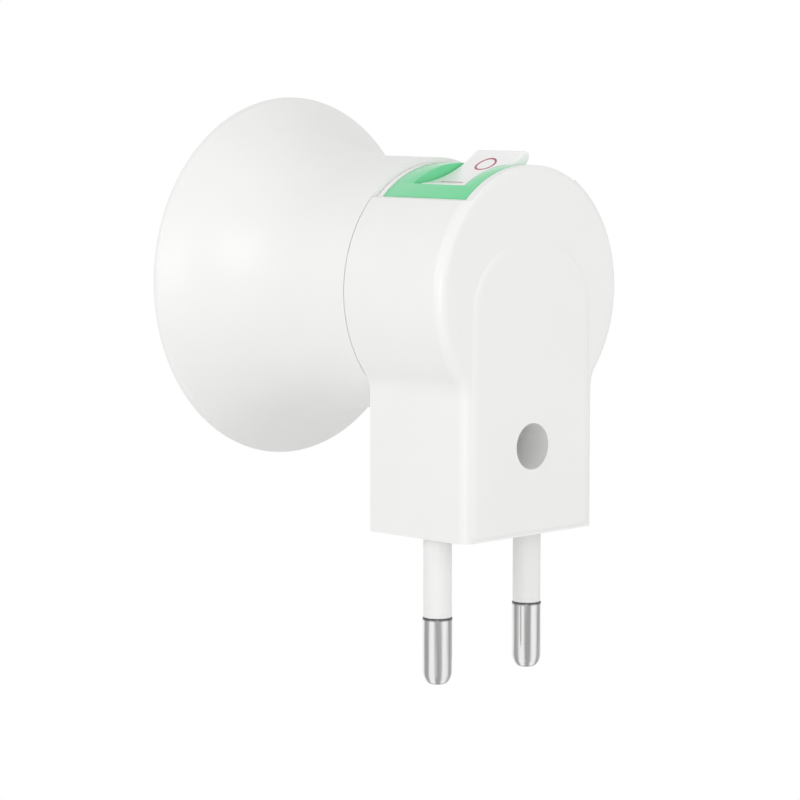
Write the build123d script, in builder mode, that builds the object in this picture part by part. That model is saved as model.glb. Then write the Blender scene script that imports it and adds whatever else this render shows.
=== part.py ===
"""Plug-in E27 lamp holder with a rocker switch and a flat two-pin plug.

Millimetres.  Origin midway between the two pins, on the face of the plug that
meets the wall socket.  Z points up, the pins hang down along -Z and stand apart
along X.  The lamp axis runs along Y above the plug, and the bell opens to -Y.
"""
from build123d import *
from math import cos, radians, sin, sqrt
import os

# Plug: flat two-pin pattern for 4 mm pins
pin_spacing = 17.5
pin_d = 4.0
pin_length = 20.0
pin_core_d = 3.0
pin_top = 9.0
sleeve_d = 3.8
sleeve_length = 11.0
sleeve_play = 0.02
pin_nose_r = 1.7

# Plug block under the lamp axis
lamp_height = 32.3
pin_cover = 1.95
block_rear = 9.0
block_edge_r = 2.2
block_foot_r = 0.9
block_floor = 4.0
panel_top = 40.2
panel_corner_r = 10.4
wall = 1.8

# Round housing and bell
seam_y = -9.0
seam_gap = 0.15
shoulder_r = 1.4
shoulder_y = 8.75
dome_rise = 0.08
crook_r = 4.0
horn_y = -19.0
mouth_y = -38.7
mouth_r = 25.2
flare_angle = 52.0
rim_width = 1.7

# Lamp socket
shell_bore_r = 13.3
shell_wall = 0.35
lip_front = -31.6
lip_thick = 1.3
lip_root = 1.2
throat_length = 6.0
rib_count = 8
rib_thick = 1.2
rib_depth = 1.95
base_thick = 2.5
base_rear = -11.1
cap_depth = 10.9
shell_taper = 1.5
shell_step = 1.0
flange_r = 8.9
rivet_side = 8.2
rivet_up = 6.2
leaf_rivet = 6.0
leaf_width = 4.6
leaf_thick = 0.35
leaf_rise = 4.9
ring_thick = 1.2
slide = 0.1

# Fixing screw in the back of the plug block
screw_z = 11.9
recess_d = 6.2
recess_depth = 7.6
screw_head_d = 5.6
screw_head_h = 2.1
screw_d = 2.9
boss_d = 9.4
boss_floor = 2.8
post_d = 6.1
tongue_root = 1.0
tongue_inset = 0.3
thread_play = 0.02

# Switch, turned about the lamp axis towards +X
switch_turn = 5.5
switch_y = 0.0
opening_length = 14.8
opening_depth = 9.0
bezel_border = 3.05
bezel_side = 3.3
bezel_sink = 0.65
bezel_thick = 0.9
bezel_gap = 0.12
body_wall = 1.0
body_floor = 1.2
body_depth = 12.7
seat_depth = 3.1

# Rocker and contacts
rocker_end_gap = 0.85
rocker_side_gap = 0.2
rocker_rise = 2.9
rocker_dish = 1.1
rocker_plate = 1.3
rocker_end_r = 0.8
rocker_skin = 1.0
rocker_waist = 3.2
rocker_tail = 3.4
pivot_depth = 2.82
pivot_d = 2.0
pivot_play = 0.05
rocker_tilt = 15.5
plunger_d = 2.1
plunger_play = 0.1
plunger_tip_r = 0.8
plunger_top = -1.6
barrel_d = 4.0
tip_gap = 0.05
spring_wire = 0.25
spring_turns = 5
seesaw_rise = 3.0
seesaw_arm = 4.8
seesaw_thick = 0.4
seesaw_width = 3.0
seesaw_vee = 10.0
seesaw_ratio = 0.55
point_x = 4.2
point_d = 2.0
point_h = 0.5
terminal_thick = 0.8
strip_thick = 0.5
strip_width = 3.6
strip_drop = 2.7
tail_length = 5.05
strip_bend = 8.0
strip_bow = 3.0
strip_clear = 1.8
rivet_d = 2.0
rivet_head_d = 3.6
rivet_head_h = 0.6
touch = 0.05

# Worked-out places
pin_x = pin_spacing / 2
half_block = pin_x + sleeve_d / 2 + pin_cover
shell_r = shell_bore_r + shell_wall
lip_r = shell_bore_r + shell_wall / 2
bore_r = shell_r + rib_depth
neck_r = bore_r + wall
bezel_crown = neck_r - bezel_sink
body_bottom = bezel_crown - body_depth
switch_seat = neck_r - seat_depth
pivot_height = bezel_crown - pivot_depth
seesaw_height = body_bottom + seesaw_rise
tail_end = body_bottom - tail_length
housing_front = seam_y + seam_gap
lip_rear = lip_front + lip_thick
base_front = base_rear - base_thick
turn = radians(switch_turn)
bezel_length = opening_length + 2 * bezel_border
bezel_depth = opening_depth + 2 * bezel_side
rocker_length = opening_length - 2 * rocker_end_gap
body_half_x = opening_length / 2 + body_wall
body_half_y = opening_depth / 2 + body_wall
rocker_half_y = opening_depth / 2 - rocker_side_gap
tongue_half = half_block - wall - tongue_inset
tongue_top = lamp_height - sqrt(bore_r**2 - tongue_half**2)
head_seat = block_rear - recess_depth
post_end = head_seat - boss_floor - slide

seat_place = Location((switch_seat * sin(turn), switch_seat * cos(turn), 0), (0, 0, -switch_turn))
bore_top = rocker_rise - rocker_dish - rocker_skin
seesaw_tilt = -seesaw_ratio * rocker_tilt
arm_tilt = seesaw_tilt + seesaw_vee
point_drop = point_x * sin(radians(-arm_tilt))
stop_height = seesaw_height - point_drop - 2 * touch
tip_centre = (
    seesaw_height + seesaw_thick + tip_gap + plunger_tip_r / cos(radians(seesaw_vee)) - pivot_height
)
strip_mid = base_rear + strip_thick / 2

lamp_axis = Axis((0, 0, lamp_height), (0, 1, 0))
lamp_section = Plane(origin=(0, 0, lamp_height), x_dir=(0, 1, 0), z_dir=(1, 0, 0))
axis_front = Plane(origin=(0, 0, lamp_height), x_dir=(1, 0, 0), z_dir=(0, -1, 0))


def facing_front(y):
    """Plane across the lamp axis at this y, its normal towards the bell mouth."""
    return axis_front.offset(-y)


def block_front(y):
    """Plane parallel to the plug block's front face, with real X and Z."""
    return Plane.XZ.offset(-y)


def switch_side(height=0.0, tilt=0.0):
    """Section plane of the switch: local x along the rocker, local y outwards."""
    angle = turn + radians(tilt)
    return Plane(
        origin=(height * sin(turn), switch_y, lamp_height + height * cos(turn)),
        x_dir=(cos(angle), 0, -sin(angle)),
        z_dir=(0, -1, 0),
    )


def switch_floor(height, tilt=0.0):
    """Plane square to the switch's up direction, or to a piece tilted in it."""
    side = switch_side(height, tilt)
    return Plane(origin=side.origin, x_dir=side.x_dir, z_dir=side.y_dir)


def arch(half_length, lower=0.0):
    """Arched top line of the switch bezel, about the lamp axis, moved down by this much."""
    edge = sqrt(bezel_crown**2 - half_length**2)
    return ThreePointArc((-half_length, edge - lower), (0, bezel_crown - lower), (half_length, edge - lower))


def rim_at(angle):
    """Point on the bell's round rim, the angle counted from the mouth towards the outside."""
    half = rim_width / 2
    return (
        mouth_y + half - half * cos(radians(angle)), mouth_r - half + half * sin(radians(angle))
    )


flare_x = cos(radians(flare_angle))
flare_r = sin(radians(flare_angle))

# Bell: trumpet shell, socket ribs and the tongue that closes the plug block's front
with BuildPart() as bell_shell:
    with BuildSketch(lamp_section):
        with BuildLine():
            horn = Spline((horn_y, neck_r), rim_at(flare_angle + 90), tangents=[(-1, 0), (-flare_x, flare_r)])
            rim = ThreePointArc(horn @ 1, rim_at(flare_angle), rim_at(flare_angle - 90))
            throat = Spline(rim @ 1, (lip_front, neck_r), tangents=[(flare_x, -flare_r), (1, -0.25)])
            Polyline(
                throat @ 1,
                (lip_front, lip_r),
                (lip_rear, lip_r),
                (lip_rear, bore_r + lip_root),
                (lip_rear + throat_length, bore_r),
                (seam_y, bore_r),
                (seam_y, neck_r),
                horn @ 0,
            )
        make_face()
    revolve(axis=lamp_axis)
    # Ribs that grip the screw shell and stop the socket base
    with BuildSketch(facing_front(base_front)):
        with PolarLocations((shell_r + touch + neck_r - 0.2) / 2, rib_count, start_angle=180 / rib_count):
            Rectangle(neck_r - 0.2 - shell_r - touch, rib_thick)
    extrude(amount=base_front - lip_rear + lip_thick / 2)
    # Tongue plate, hung from the neck wall, with a root inside that wall
    with BuildSketch(block_front(seam_y)):
        with Locations((0, (slide + tongue_top) / 2)):
            Rectangle(2 * tongue_half, tongue_top - slide)
        with Locations((0, lamp_height)):
            Circle(bore_r, mode=Mode.SUBTRACT)
    extrude(amount=-wall)
    with BuildSketch(block_front(seam_y)):
        with Locations((0, tongue_top / 2)):
            Rectangle(2 * tongue_half, tongue_top)
        with Locations((0, lamp_height)):
            Circle(neck_r, mode=Mode.INTERSECT)
            Circle(bore_r, mode=Mode.SUBTRACT)
    extrude(amount=tongue_root)
    # Screw post on the back of the tongue, with its pilot hole
    with BuildSketch(block_front(seam_y + wall / 2)):
        with Locations((0, screw_z)):
            Circle(post_d / 2)
    extrude(amount=seam_y + wall / 2 - post_end)
    with BuildSketch(block_front(post_end)):
        with Locations((0, screw_z)):
            Circle(screw_d / 2 + thread_play)
    extrude(amount=post_end - seam_y - wall / 2, mode=Mode.SUBTRACT)
bell_shell.part.label = "bell_shell"


# Rear housing: short drum with the plug block running up its back
with BuildPart() as rear_housing:
    with BuildSketch(block_front(shoulder_y)):
        with Locations((0, lamp_height)):
            Circle(neck_r)
        with Locations((0, lamp_height / 2)):
            Rectangle(2 * half_block, lamp_height)
        crooks = vertices().filter_by(lambda corner: block_floor < corner.Y < lamp_height - touch)
        fillet(crooks, radius=crook_r)
    extrude(amount=shoulder_y - housing_front)
    rear_rim = rear_housing.faces().sort_by(Axis.Y)[-1].edges()
    fillet(rear_rim.sort_by(Axis.Z)[1:], radius=shoulder_r)
    # Slight dome on the back
    with BuildSketch(lamp_section):
        with BuildLine():
            dome = ThreePointArc(
                (shoulder_y, neck_r - shoulder_r),
                (shoulder_y + dome_rise * 0.75, (neck_r - shoulder_r) / 2),
                (shoulder_y + dome_rise, 0),
            )
            Polyline(
                dome @ 1, (shoulder_y - wall / 2, 0), (shoulder_y - wall / 2, neck_r - shoulder_r), dome @ 0
            )
        make_face()
    revolve(axis=lamp_axis)
    with BuildPart(mode=Mode.PRIVATE) as block:
        with BuildSketch(block_front(block_rear)):
            with BuildLine():
                foot = Polyline(
                    (-half_block, panel_top - panel_corner_r), (-half_block, 0), (half_block, 0),
                    (half_block, panel_top - panel_corner_r),
                )
                right = TangentArc(
                    foot @ 1, (half_block - panel_corner_r, panel_top), tangent=(0, 1)
                )
                top = Line(right @ 1, (panel_corner_r - half_block, panel_top))
                TangentArc(top @ 1, foot @ 0, tangent=(-1, 0))
            make_face()
        extrude(amount=block_rear - housing_front)
        back_edges = block.faces().sort_by(Axis.Y)[-1].edges()
        fillet(back_edges.sort_by(Axis.Z)[1:], radius=block_edge_r)
        fillet(block.faces().sort_by(Axis.Z)[0].edges(), radius=block_foot_r)
    add(block.part)
    # Inside of the drum, flat at the top where the switch is seated
    with BuildSketch(facing_front(housing_front)):
        Circle(bore_r)
        with Locations(seat_place):
            Rectangle(3 * neck_r, neck_r, align=(Align.CENTER, Align.MIN), mode=Mode.SUBTRACT)
    extrude(amount=housing_front - shoulder_y + wall, mode=Mode.SUBTRACT)
    # Inside of the plug block, open to the front for the tongue
    with BuildSketch(block_front(housing_front)):
        with Locations((0, (block_floor + lamp_height) / 2)):
            Rectangle(2 * (half_block - wall), lamp_height - block_floor)
    extrude(amount=housing_front - block_rear + wall, mode=Mode.SUBTRACT)
    # Pockets that keep the side walls clear of the pins
    with BuildSketch(Plane.XY.offset(block_floor)):
        with GridLocations(pin_spacing, 1, 2, 1):
            Circle(pin_core_d / 2 + slide)
    extrude(amount=pin_top + slide - block_floor, mode=Mode.SUBTRACT)
    # Register ring that centres the neck and traps the socket base
    with BuildSketch(facing_front(base_rear + slide)):
        Circle(bore_r - slide)
        Circle(bore_r - slide - ring_thick, mode=Mode.SUBTRACT)
        with Locations((0, tongue_top + slide - lamp_height)):
            Rectangle(2 * neck_r, neck_r, align=(Align.CENTER, Align.MAX), mode=Mode.SUBTRACT)
    extrude(amount=base_rear + slide - housing_front)
    with BuildSketch(facing_front(housing_front)):
        Circle(neck_r - wall / 3)
        Circle(bore_r - slide - ring_thick, mode=Mode.SUBTRACT)
        with Locations((0, tongue_top + slide - lamp_height)):
            Rectangle(2 * neck_r, neck_r, align=(Align.CENTER, Align.MAX), mode=Mode.SUBTRACT)
        with Locations(seat_place):
            Rectangle(3 * neck_r, neck_r, align=(Align.CENTER, Align.MIN), mode=Mode.SUBTRACT)
    extrude(amount=-wall)
    # Slot for the tongue in the front rim of the floor
    with BuildSketch(block_front(base_rear)):
        Rectangle(2 * (tongue_half + slide), 3 * block_floor)
    extrude(amount=base_rear - seam_y - wall - slide, mode=Mode.SUBTRACT)
    # Screw boss with its stepped hole
    with BuildSketch(block_front(head_seat - boss_floor)):
        with Locations((0, screw_z)):
            Circle(boss_d / 2)
    extrude(amount=head_seat - boss_floor - block_rear + wall / 2)
    with Locations(Location((0, block_rear, screw_z), (-90, 0, 0))):
        CounterBoreHole(screw_d / 2 + slide, recess_d / 2, recess_depth, depth=block_rear - post_end)
    # Flat arched land on top, the bezel pocket and the hole for the switch body
    with BuildSketch(switch_side().offset(switch_y - housing_front)):
        with BuildLine():
            land = arch(bezel_length / 2 + bezel_gap)
            Polyline(
                land @ 1, (neck_r, (land @ 1).Y), (neck_r, 2 * neck_r), (-neck_r, 2 * neck_r),
                (-neck_r, (land @ 0).Y), land @ 0,
            )
        make_face()
    extrude(amount=housing_front - block_rear, mode=Mode.SUBTRACT)
    with BuildSketch(switch_side()):
        with BuildLine():
            floor = arch(bezel_length / 2 + bezel_gap, bezel_thick + touch)
            Polyline(floor @ 1, floor @ 1 + (0, neck_r), floor @ 0 + (0, neck_r), floor @ 0)
        make_face()
    extrude(amount=bezel_depth / 2 + bezel_gap, both=True, mode=Mode.SUBTRACT)
    with BuildSketch(switch_floor(0.0)):
        Rectangle(2 * body_half_x + 2 * slide, 2 * body_half_y + 2 * slide)
    extrude(amount=2 * neck_r, mode=Mode.SUBTRACT)
    # Holes for the sleeved pins
    with BuildSketch(Plane.XY):
        with GridLocations(pin_spacing, 1, 2, 1):
            Circle(sleeve_d / 2)
    extrude(amount=block_floor, mode=Mode.SUBTRACT)
rear_housing.part.label = "rear_housing"

# Screw shell: thin drawn cup that takes the lamp cap, stepped in below the cap's thread
thread_end = lip_rear + touch + cap_depth
foot_r = shell_bore_r - shell_step
with BuildPart() as screw_shell:
    with BuildSketch(lamp_section):
        with BuildLine():
            Polyline(
                (lip_rear + touch, shell_bore_r), (lip_rear + touch, shell_r), (thread_end, shell_r),
                (thread_end + shell_taper, foot_r + shell_wall), (base_front, foot_r + shell_wall),
                (base_front, flange_r), (base_front - shell_wall, flange_r),
                (base_front - shell_wall, foot_r), (thread_end + shell_taper, foot_r),
                (thread_end, shell_bore_r), close=True,
            )
        make_face()
    revolve(axis=lamp_axis)
    with BuildSketch(facing_front(base_front)):
        with Locations(*[(x, rivet_up) for x in (-rivet_side, rivet_side)]):
            Circle(rivet_d / 2)
    extrude(amount=shell_wall, mode=Mode.SUBTRACT)
screw_shell.part.label = "screw_shell"

# Insulating base behind the screw shell
with BuildPart() as socket_base:
    with BuildSketch(facing_front(base_front)):
        Circle(bore_r - slide)
        with Locations((-rivet_side, rivet_up), (rivet_side, rivet_up), (0, -leaf_rivet)):
            Circle(rivet_d / 2, mode=Mode.SUBTRACT)
    extrude(amount=-base_thick)
    chamfer(socket_base.faces().sort_by(Axis.Y)[-1].outer_wire().edges(), length=0.4)
socket_base.part.label = "socket_base"


def rivet(front, back, x, up, name):
    """Hollow-set rivet between two faces across the lamp axis, one head at each end."""
    with BuildPart() as piece:
        with BuildSketch(facing_front(back)):
            with Locations((x, up)):
                Circle(rivet_d / 2)
        extrude(amount=back - front)
        for face, amount in ((front, rivet_head_h), (back, -rivet_head_h)):
            with BuildSketch(facing_front(face)):
                with Locations((x, up)):
                    Circle(rivet_head_d / 2)
            extrude(amount=amount)
        crowns = piece.edges().filter_by(GeomType.CIRCLE)
        fillet(crowns.group_by(Axis.Y)[0] + crowns.group_by(Axis.Y)[-1], radius=rivet_head_h * 0.6)
    piece.part.label = name
    return piece


strip_back = base_rear + strip_thick
shell_front = base_front - shell_wall
leaf_front = base_front - leaf_thick
shell_rivet_left = rivet(shell_front, base_rear, -rivet_side, rivet_up, "shell_rivet_left")
shell_rivet_right = rivet(shell_front, strip_back, rivet_side, rivet_up, "shell_rivet_right")
centre_rivet = rivet(leaf_front, strip_back, 0, -leaf_rivet, "centre_rivet")

# Centre contact: springy leaf that rises to meet the lamp's tip
with BuildPart() as centre_contact:
    with BuildSketch(lamp_section):
        with BuildLine() as leaf:
            flat = Line(
                (base_front - leaf_thick / 2, -leaf_rivet - leaf_width / 2),
                (base_front - leaf_thick / 2, leaf_width / 2 - leaf_rivet),
            )
            Spline(
                flat @ 1, (base_front - leaf_rise, 0.0), (base_front - leaf_rise + 1.4, 2.6),
                tangents=[(0, 1), (1, 0.7)],
            )
        trace(line_width=leaf_thick)
    extrude(amount=leaf_width / 2, both=True)
    with BuildSketch(facing_front(base_front)):
        with Locations((0, -leaf_rivet)):
            Circle(rivet_d / 2)
    extrude(amount=leaf_thick, mode=Mode.SUBTRACT)
centre_contact.part.label = "centre_contact"

# Switch body: green bezel and the open box under it, one moulding
with BuildPart() as switch_body:
    with BuildSketch(switch_floor(body_bottom)):
        Rectangle(2 * body_half_x, 2 * body_half_y)
    extrude(amount=bezel_crown - bezel_thick / 2 - body_bottom)
    with BuildSketch(switch_side()):
        with BuildLine():
            over = arch(bezel_length / 2, bezel_thick / 2)
            Polyline(over @ 1, over @ 1 + (0, neck_r), over @ 0 + (0, neck_r), over @ 0)
        make_face()
    extrude(amount=bezel_depth, both=True, mode=Mode.SUBTRACT)
    with BuildSketch(switch_side()):
        with BuildLine():
            upper = arch(bezel_length / 2)
            lower = arch(bezel_length / 2, bezel_thick)
            Line(upper @ 0, lower @ 0)
            Line(upper @ 1, lower @ 1)
        make_face()
    extrude(amount=bezel_depth / 2, both=True)
    with BuildSketch(switch_floor(body_bottom + body_floor)):
        Rectangle(opening_length, opening_depth)
    extrude(amount=2 * neck_r, mode=Mode.SUBTRACT)
    # Pivot holes in the long walls
    with BuildSketch(switch_side(pivot_height)):
        Circle(pivot_d / 2 + pivot_play)
    extrude(amount=body_half_y, both=True, mode=Mode.SUBTRACT)
    # Slots in the floor for the two terminals, and the post that stops the seesaw
    with BuildSketch(switch_floor(body_bottom)):
        with Locations((0, 0), (-point_x, 0)):
            Rectangle(terminal_thick, seesaw_width)
    extrude(amount=body_floor, mode=Mode.SUBTRACT)
    with BuildSketch(switch_floor(body_bottom + body_floor / 2)):
        with Locations((point_x, 0)):
            Rectangle(1.6, seesaw_width)
    extrude(amount=stop_height - body_bottom - body_floor / 2)
switch_body.part.label = "switch_body"

# Rocker, drawn in its own section tilted to the pressed side
rocker_side = switch_side(pivot_height, rocker_tilt)
rocker_up = switch_floor(pivot_height, rocker_tilt)
with BuildPart() as rocker:
    with BuildSketch(rocker_side):
        with BuildLine():
            dish = ThreePointArc(
                (-rocker_length / 2, rocker_rise), (0, rocker_rise - rocker_dish),
                (rocker_length / 2, rocker_rise),
            )
            Polyline(
                dish @ 1, (rocker_length / 2 - touch, rocker_rise - rocker_plate),
                (rocker_length / 2 - rocker_plate, rocker_rise - 2 * rocker_plate),
                (rocker_waist, -rocker_tail), (-rocker_waist, -rocker_tail),
                (rocker_plate - rocker_length / 2, rocker_rise - 2 * rocker_plate),
                (touch - rocker_length / 2, rocker_rise - rocker_plate), dish @ 0,
            )
        make_face()
    extrude(amount=rocker_half_y, both=True)
    plate_ends = rocker.edges().filter_by(Axis.Y).filter_by(
        lambda edge: rocker_side.to_local_coords(edge.center()).Y > rocker_rise - 0.2
    )
    fillet(plate_ends, radius=rocker_end_r)
    with BuildSketch(rocker_side):
        with BuildLine():
            roof = ThreePointArc(
                (rocker_plate - rocker_length / 2, rocker_rise - rocker_skin - rocker_end_r / 2),
                (0, rocker_rise - rocker_dish - rocker_skin),
                (rocker_length / 2 - rocker_plate, rocker_rise - rocker_skin - rocker_end_r / 2),
            )
            Polyline(
                roof @ 1, (rocker_waist - rocker_skin, -rocker_tail),
                (rocker_skin - rocker_waist, -rocker_tail), roof @ 0,
            )
        make_face()
    extrude(amount=rocker_half_y - rocker_skin, both=True, mode=Mode.SUBTRACT)
    # Pivot pins, one on each long side
    with BuildSketch(rocker_side):
        Circle(pivot_d / 2)
    extrude(amount=body_half_y - 2 * touch, both=True)
    # Barrel that holds the spring and the plunger
    with BuildSketch(rocker_up.offset(-rocker_tail)):
        Circle(barrel_d / 2)
    extrude(amount=rocker_tail + rocker_rise - rocker_dish - rocker_skin / 2)
    with BuildSketch(rocker_up.offset(-rocker_tail)):
        Circle(plunger_d / 2 + plunger_play)
    extrude(amount=rocker_tail + bore_top, mode=Mode.SUBTRACT)
rocker.part.label = "rocker"

# Plunger: sliding pin in the rocker's barrel, its round tip on the seesaw
with BuildPart() as plunger:
    with BuildSketch(rocker_side):
        with BuildLine():
            ball = CenterArc((0, tip_centre), plunger_tip_r, -90, 75)
            Polyline(
                ball @ 1, (plunger_d / 2, tip_centre + 1.6), (plunger_d / 2, plunger_top),
                (0, plunger_top), ball @ 0,
            )
        make_face()
    revolve(axis=Axis(rocker_side.origin, rocker_side.y_dir))
plunger.part.label = "plunger"

# Compression spring above the plunger
with BuildPart() as plunger_spring:
    spring_seat = rocker_up.offset(plunger_top + spring_wire / 2 + touch)
    with BuildLine() as coil:
        spring_height = bore_top - plunger_top - spring_wire - 2 * touch
        Helix(
            spring_height / spring_turns, spring_height, plunger_d / 2 - spring_wire / 2,
            center=spring_seat.origin, direction=spring_seat.z_dir,
        )
    with BuildSketch(Plane(origin=coil.line @ 0, z_dir=coil.line % 0)):
        Circle(spring_wire / 2)
    sweep(path=coil.line, is_frenet=True)
plunger_spring.part.label = "plunger_spring"

# Seesaw contact: shallow vee of strip that rocks on the middle terminal
seesaw_side = switch_side(seesaw_height, seesaw_tilt)
with BuildPart() as seesaw_contact:
    reach = seesaw_arm * cos(radians(seesaw_vee))
    lift = seesaw_arm * sin(radians(seesaw_vee)) + seesaw_thick / 2
    with BuildSketch(seesaw_side):
        with BuildLine():
            Polyline((-reach, lift), (0, seesaw_thick / 2), (reach, lift))
        trace(line_width=seesaw_thick)
    extrude(amount=seesaw_width / 2, both=True)
seesaw_contact.part.label = "seesaw_contact"

# Silver contact points, one under the seesaw and one on the end terminal
point_place = seesaw_side.from_local_coords(
    (-point_x * cos(radians(seesaw_vee)), point_x * sin(radians(seesaw_vee)))
)
with BuildPart() as moving_point:
    arm_plane = switch_floor(0, arm_tilt)
    with BuildSketch(Plane(origin=point_place, x_dir=arm_plane.x_dir, z_dir=-arm_plane.z_dir)):
        Circle(point_d / 2)
    extrude(amount=point_h)
moving_point.part.label = "moving_point"

point_top = seesaw_height - point_drop - point_h - 2 * touch
foot_top = body_bottom + body_floor + strip_thick
with BuildPart() as fixed_point:
    with BuildSketch(switch_floor(foot_top)):
        with Locations((-point_x, 0)):
            Circle(point_d / 2)
    extrude(amount=point_top - foot_top)
fixed_point.part.label = "fixed_point"

# End terminal: blade through the floor with a foot under the contact point
with BuildPart() as fixed_terminal:
    with BuildSketch(switch_floor(tail_end)):
        with Locations((-point_x, 0)):
            Rectangle(terminal_thick, seesaw_width)
    extrude(amount=foot_top - tail_end)
    with BuildSketch(switch_floor(foot_top)):
        with Locations((-point_x, 0)):
            Rectangle(point_d + 0.4, seesaw_width)
    extrude(amount=-strip_thick)
fixed_terminal.part.label = "fixed_terminal"

# Middle terminal: blade whose knife edge carries the seesaw
middle_tail = (strip_thick / 2 + touch - strip_drop) / cos(turn)
with BuildPart() as middle_terminal:
    with BuildSketch(switch_side()):
        with BuildLine():
            Polyline(
                (-terminal_thick / 2, middle_tail), (terminal_thick / 2, middle_tail),
                (terminal_thick / 2, seesaw_height - 0.8), (0.1, seesaw_height - touch),
                (-0.1, seesaw_height - touch), (-terminal_thick / 2, seesaw_height - 0.8), close=True,
            )
        make_face()
    extrude(amount=seesaw_width / 2, both=True)
middle_terminal.part.label = "middle_terminal"


def plug_pin(x, name):
    """Solid pin: full-size metal nose, thinner core inside the sleeve and the block."""
    with BuildPart() as piece:
        with BuildSketch(Plane.XZ):
            with BuildLine():
                Polyline(
                    (x, -pin_length), (x + pin_d / 2, -pin_length), (x + pin_d / 2, -sleeve_length),
                    (x + pin_core_d / 2, -sleeve_length), (x + pin_core_d / 2, pin_top), (x, pin_top),
                    close=True,
                )
            make_face()
        revolve(axis=Axis((x, 0, 0), (0, 0, 1)))
        fillet(piece.faces().sort_by(Axis.Z)[0].edges(), radius=pin_nose_r)
        chamfer(piece.faces().sort_by(Axis.Z)[-1].edges(), length=0.3)
    piece.part.label = name
    return piece


def pin_sleeve(x, name):
    """Insulating sleeve from the floor of the block down to the metal nose."""
    with BuildPart() as piece:
        with BuildSketch(Plane.XY.offset(-sleeve_length)):
            with Locations((x, 0)):
                Circle(sleeve_d / 2)
                Circle(pin_core_d / 2 + sleeve_play, mode=Mode.SUBTRACT)
        extrude(amount=sleeve_length + block_floor)
    piece.part.label = name
    return piece


pin_left = plug_pin(-pin_x, "pin_left")
pin_right = plug_pin(pin_x, "pin_right")
sleeve_left = pin_sleeve(-pin_x, "sleeve_left")
sleeve_right = pin_sleeve(pin_x, "sleeve_right")

# Self-tapping screw from the back into the tongue's post
screw_end = seam_y + wall
with BuildPart() as housing_screw:
    with BuildSketch(block_front(head_seat)):
        with Locations((0, screw_z)):
            Circle(screw_head_d / 2)
    extrude(amount=-screw_head_h)
    fillet(housing_screw.faces().sort_by(Axis.Y)[-1].edges(), radius=screw_head_h * 0.6)
    with BuildSketch(block_front(head_seat)):
        with Locations((0, screw_z)):
            Circle(screw_d / 2)
    extrude(amount=head_seat - screw_end)
    chamfer(housing_screw.faces().sort_by(Axis.Y)[0].edges(), length=0.9)
    with BuildSketch(block_front(head_seat + screw_head_h)):
        with Locations((0, screw_z)):
            Rectangle(3.0, 0.7)
            Rectangle(0.7, 3.0)
    extrude(amount=screw_head_h * 0.6, mode=Mode.SUBTRACT)
housing_screw.part.label = "housing_screw"

# Strip from the left pin up to the switch's end terminal
tail_place = switch_side().from_local_coords((-point_x, tail_end))
with BuildPart() as live_strip:
    with BuildSketch(block_front(switch_y)):
        with BuildLine():
            Polyline(
                (-pin_x, pin_top), (-pin_x, lamp_height - strip_bend),
                (tail_place.X, tail_place.Z - strip_thick - touch),
            )
        trace(line_width=strip_thick)
    extrude(amount=seesaw_width / 2, both=True)
live_strip.part.label = "live_strip"

# Strip from the switch's middle terminal to the centre contact
with BuildPart() as switched_strip:
    with BuildSketch(lamp_section):
        with BuildLine():
            Polyline(
                (switch_y + seesaw_width / 2, -strip_drop), (strip_mid, -strip_drop),
                (strip_mid, -leaf_rivet - rivet_d),
            )
        trace(line_width=strip_thick)
    extrude(amount=strip_width / 2, both=True)
    with BuildSketch(facing_front(base_rear)):
        with Locations((0, -leaf_rivet)):
            Circle(rivet_d / 2)
    extrude(amount=-2 * strip_thick, mode=Mode.SUBTRACT)
switched_strip.part.label = "switched_strip"

# Strip from the right pin to the screw shell's rivet
strip_step = tongue_top - lamp_height
strip_y = seam_y + wall + strip_clear
with BuildPart() as neutral_strip:
    with BuildSketch(lamp_section.offset(rivet_side)):
        with BuildLine():
            Polyline(
                (0, pin_top - lamp_height), (0, strip_step - 2 * strip_bow),
                (strip_y, strip_step - strip_bow), (strip_y, strip_step + strip_bow),
                (strip_mid, strip_step + 2 * strip_bow), (strip_mid, rivet_up + rivet_d),
            )
        trace(line_width=strip_thick)
    extrude(amount=strip_width / 2, both=True)
    with BuildSketch(facing_front(base_rear)):
        with Locations((rivet_side, rivet_up)):
            Circle(rivet_d / 2)
    extrude(amount=-2 * strip_thick, mode=Mode.SUBTRACT)
neutral_strip.part.label = "neutral_strip"

pieces = [
    bell_shell, rear_housing, screw_shell, socket_base, shell_rivet_left, shell_rivet_right,
    centre_rivet, centre_contact, switch_body, rocker, plunger, plunger_spring, seesaw_contact,
    moving_point, fixed_point, fixed_terminal, middle_terminal, pin_left, pin_right, sleeve_left,
    sleeve_right, housing_screw, live_strip, switched_strip, neutral_strip,
]
os.makedirs("parts", exist_ok=True)
for piece in pieces:
    export_step(piece.part, f"parts/{piece.part.label}.step")
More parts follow.
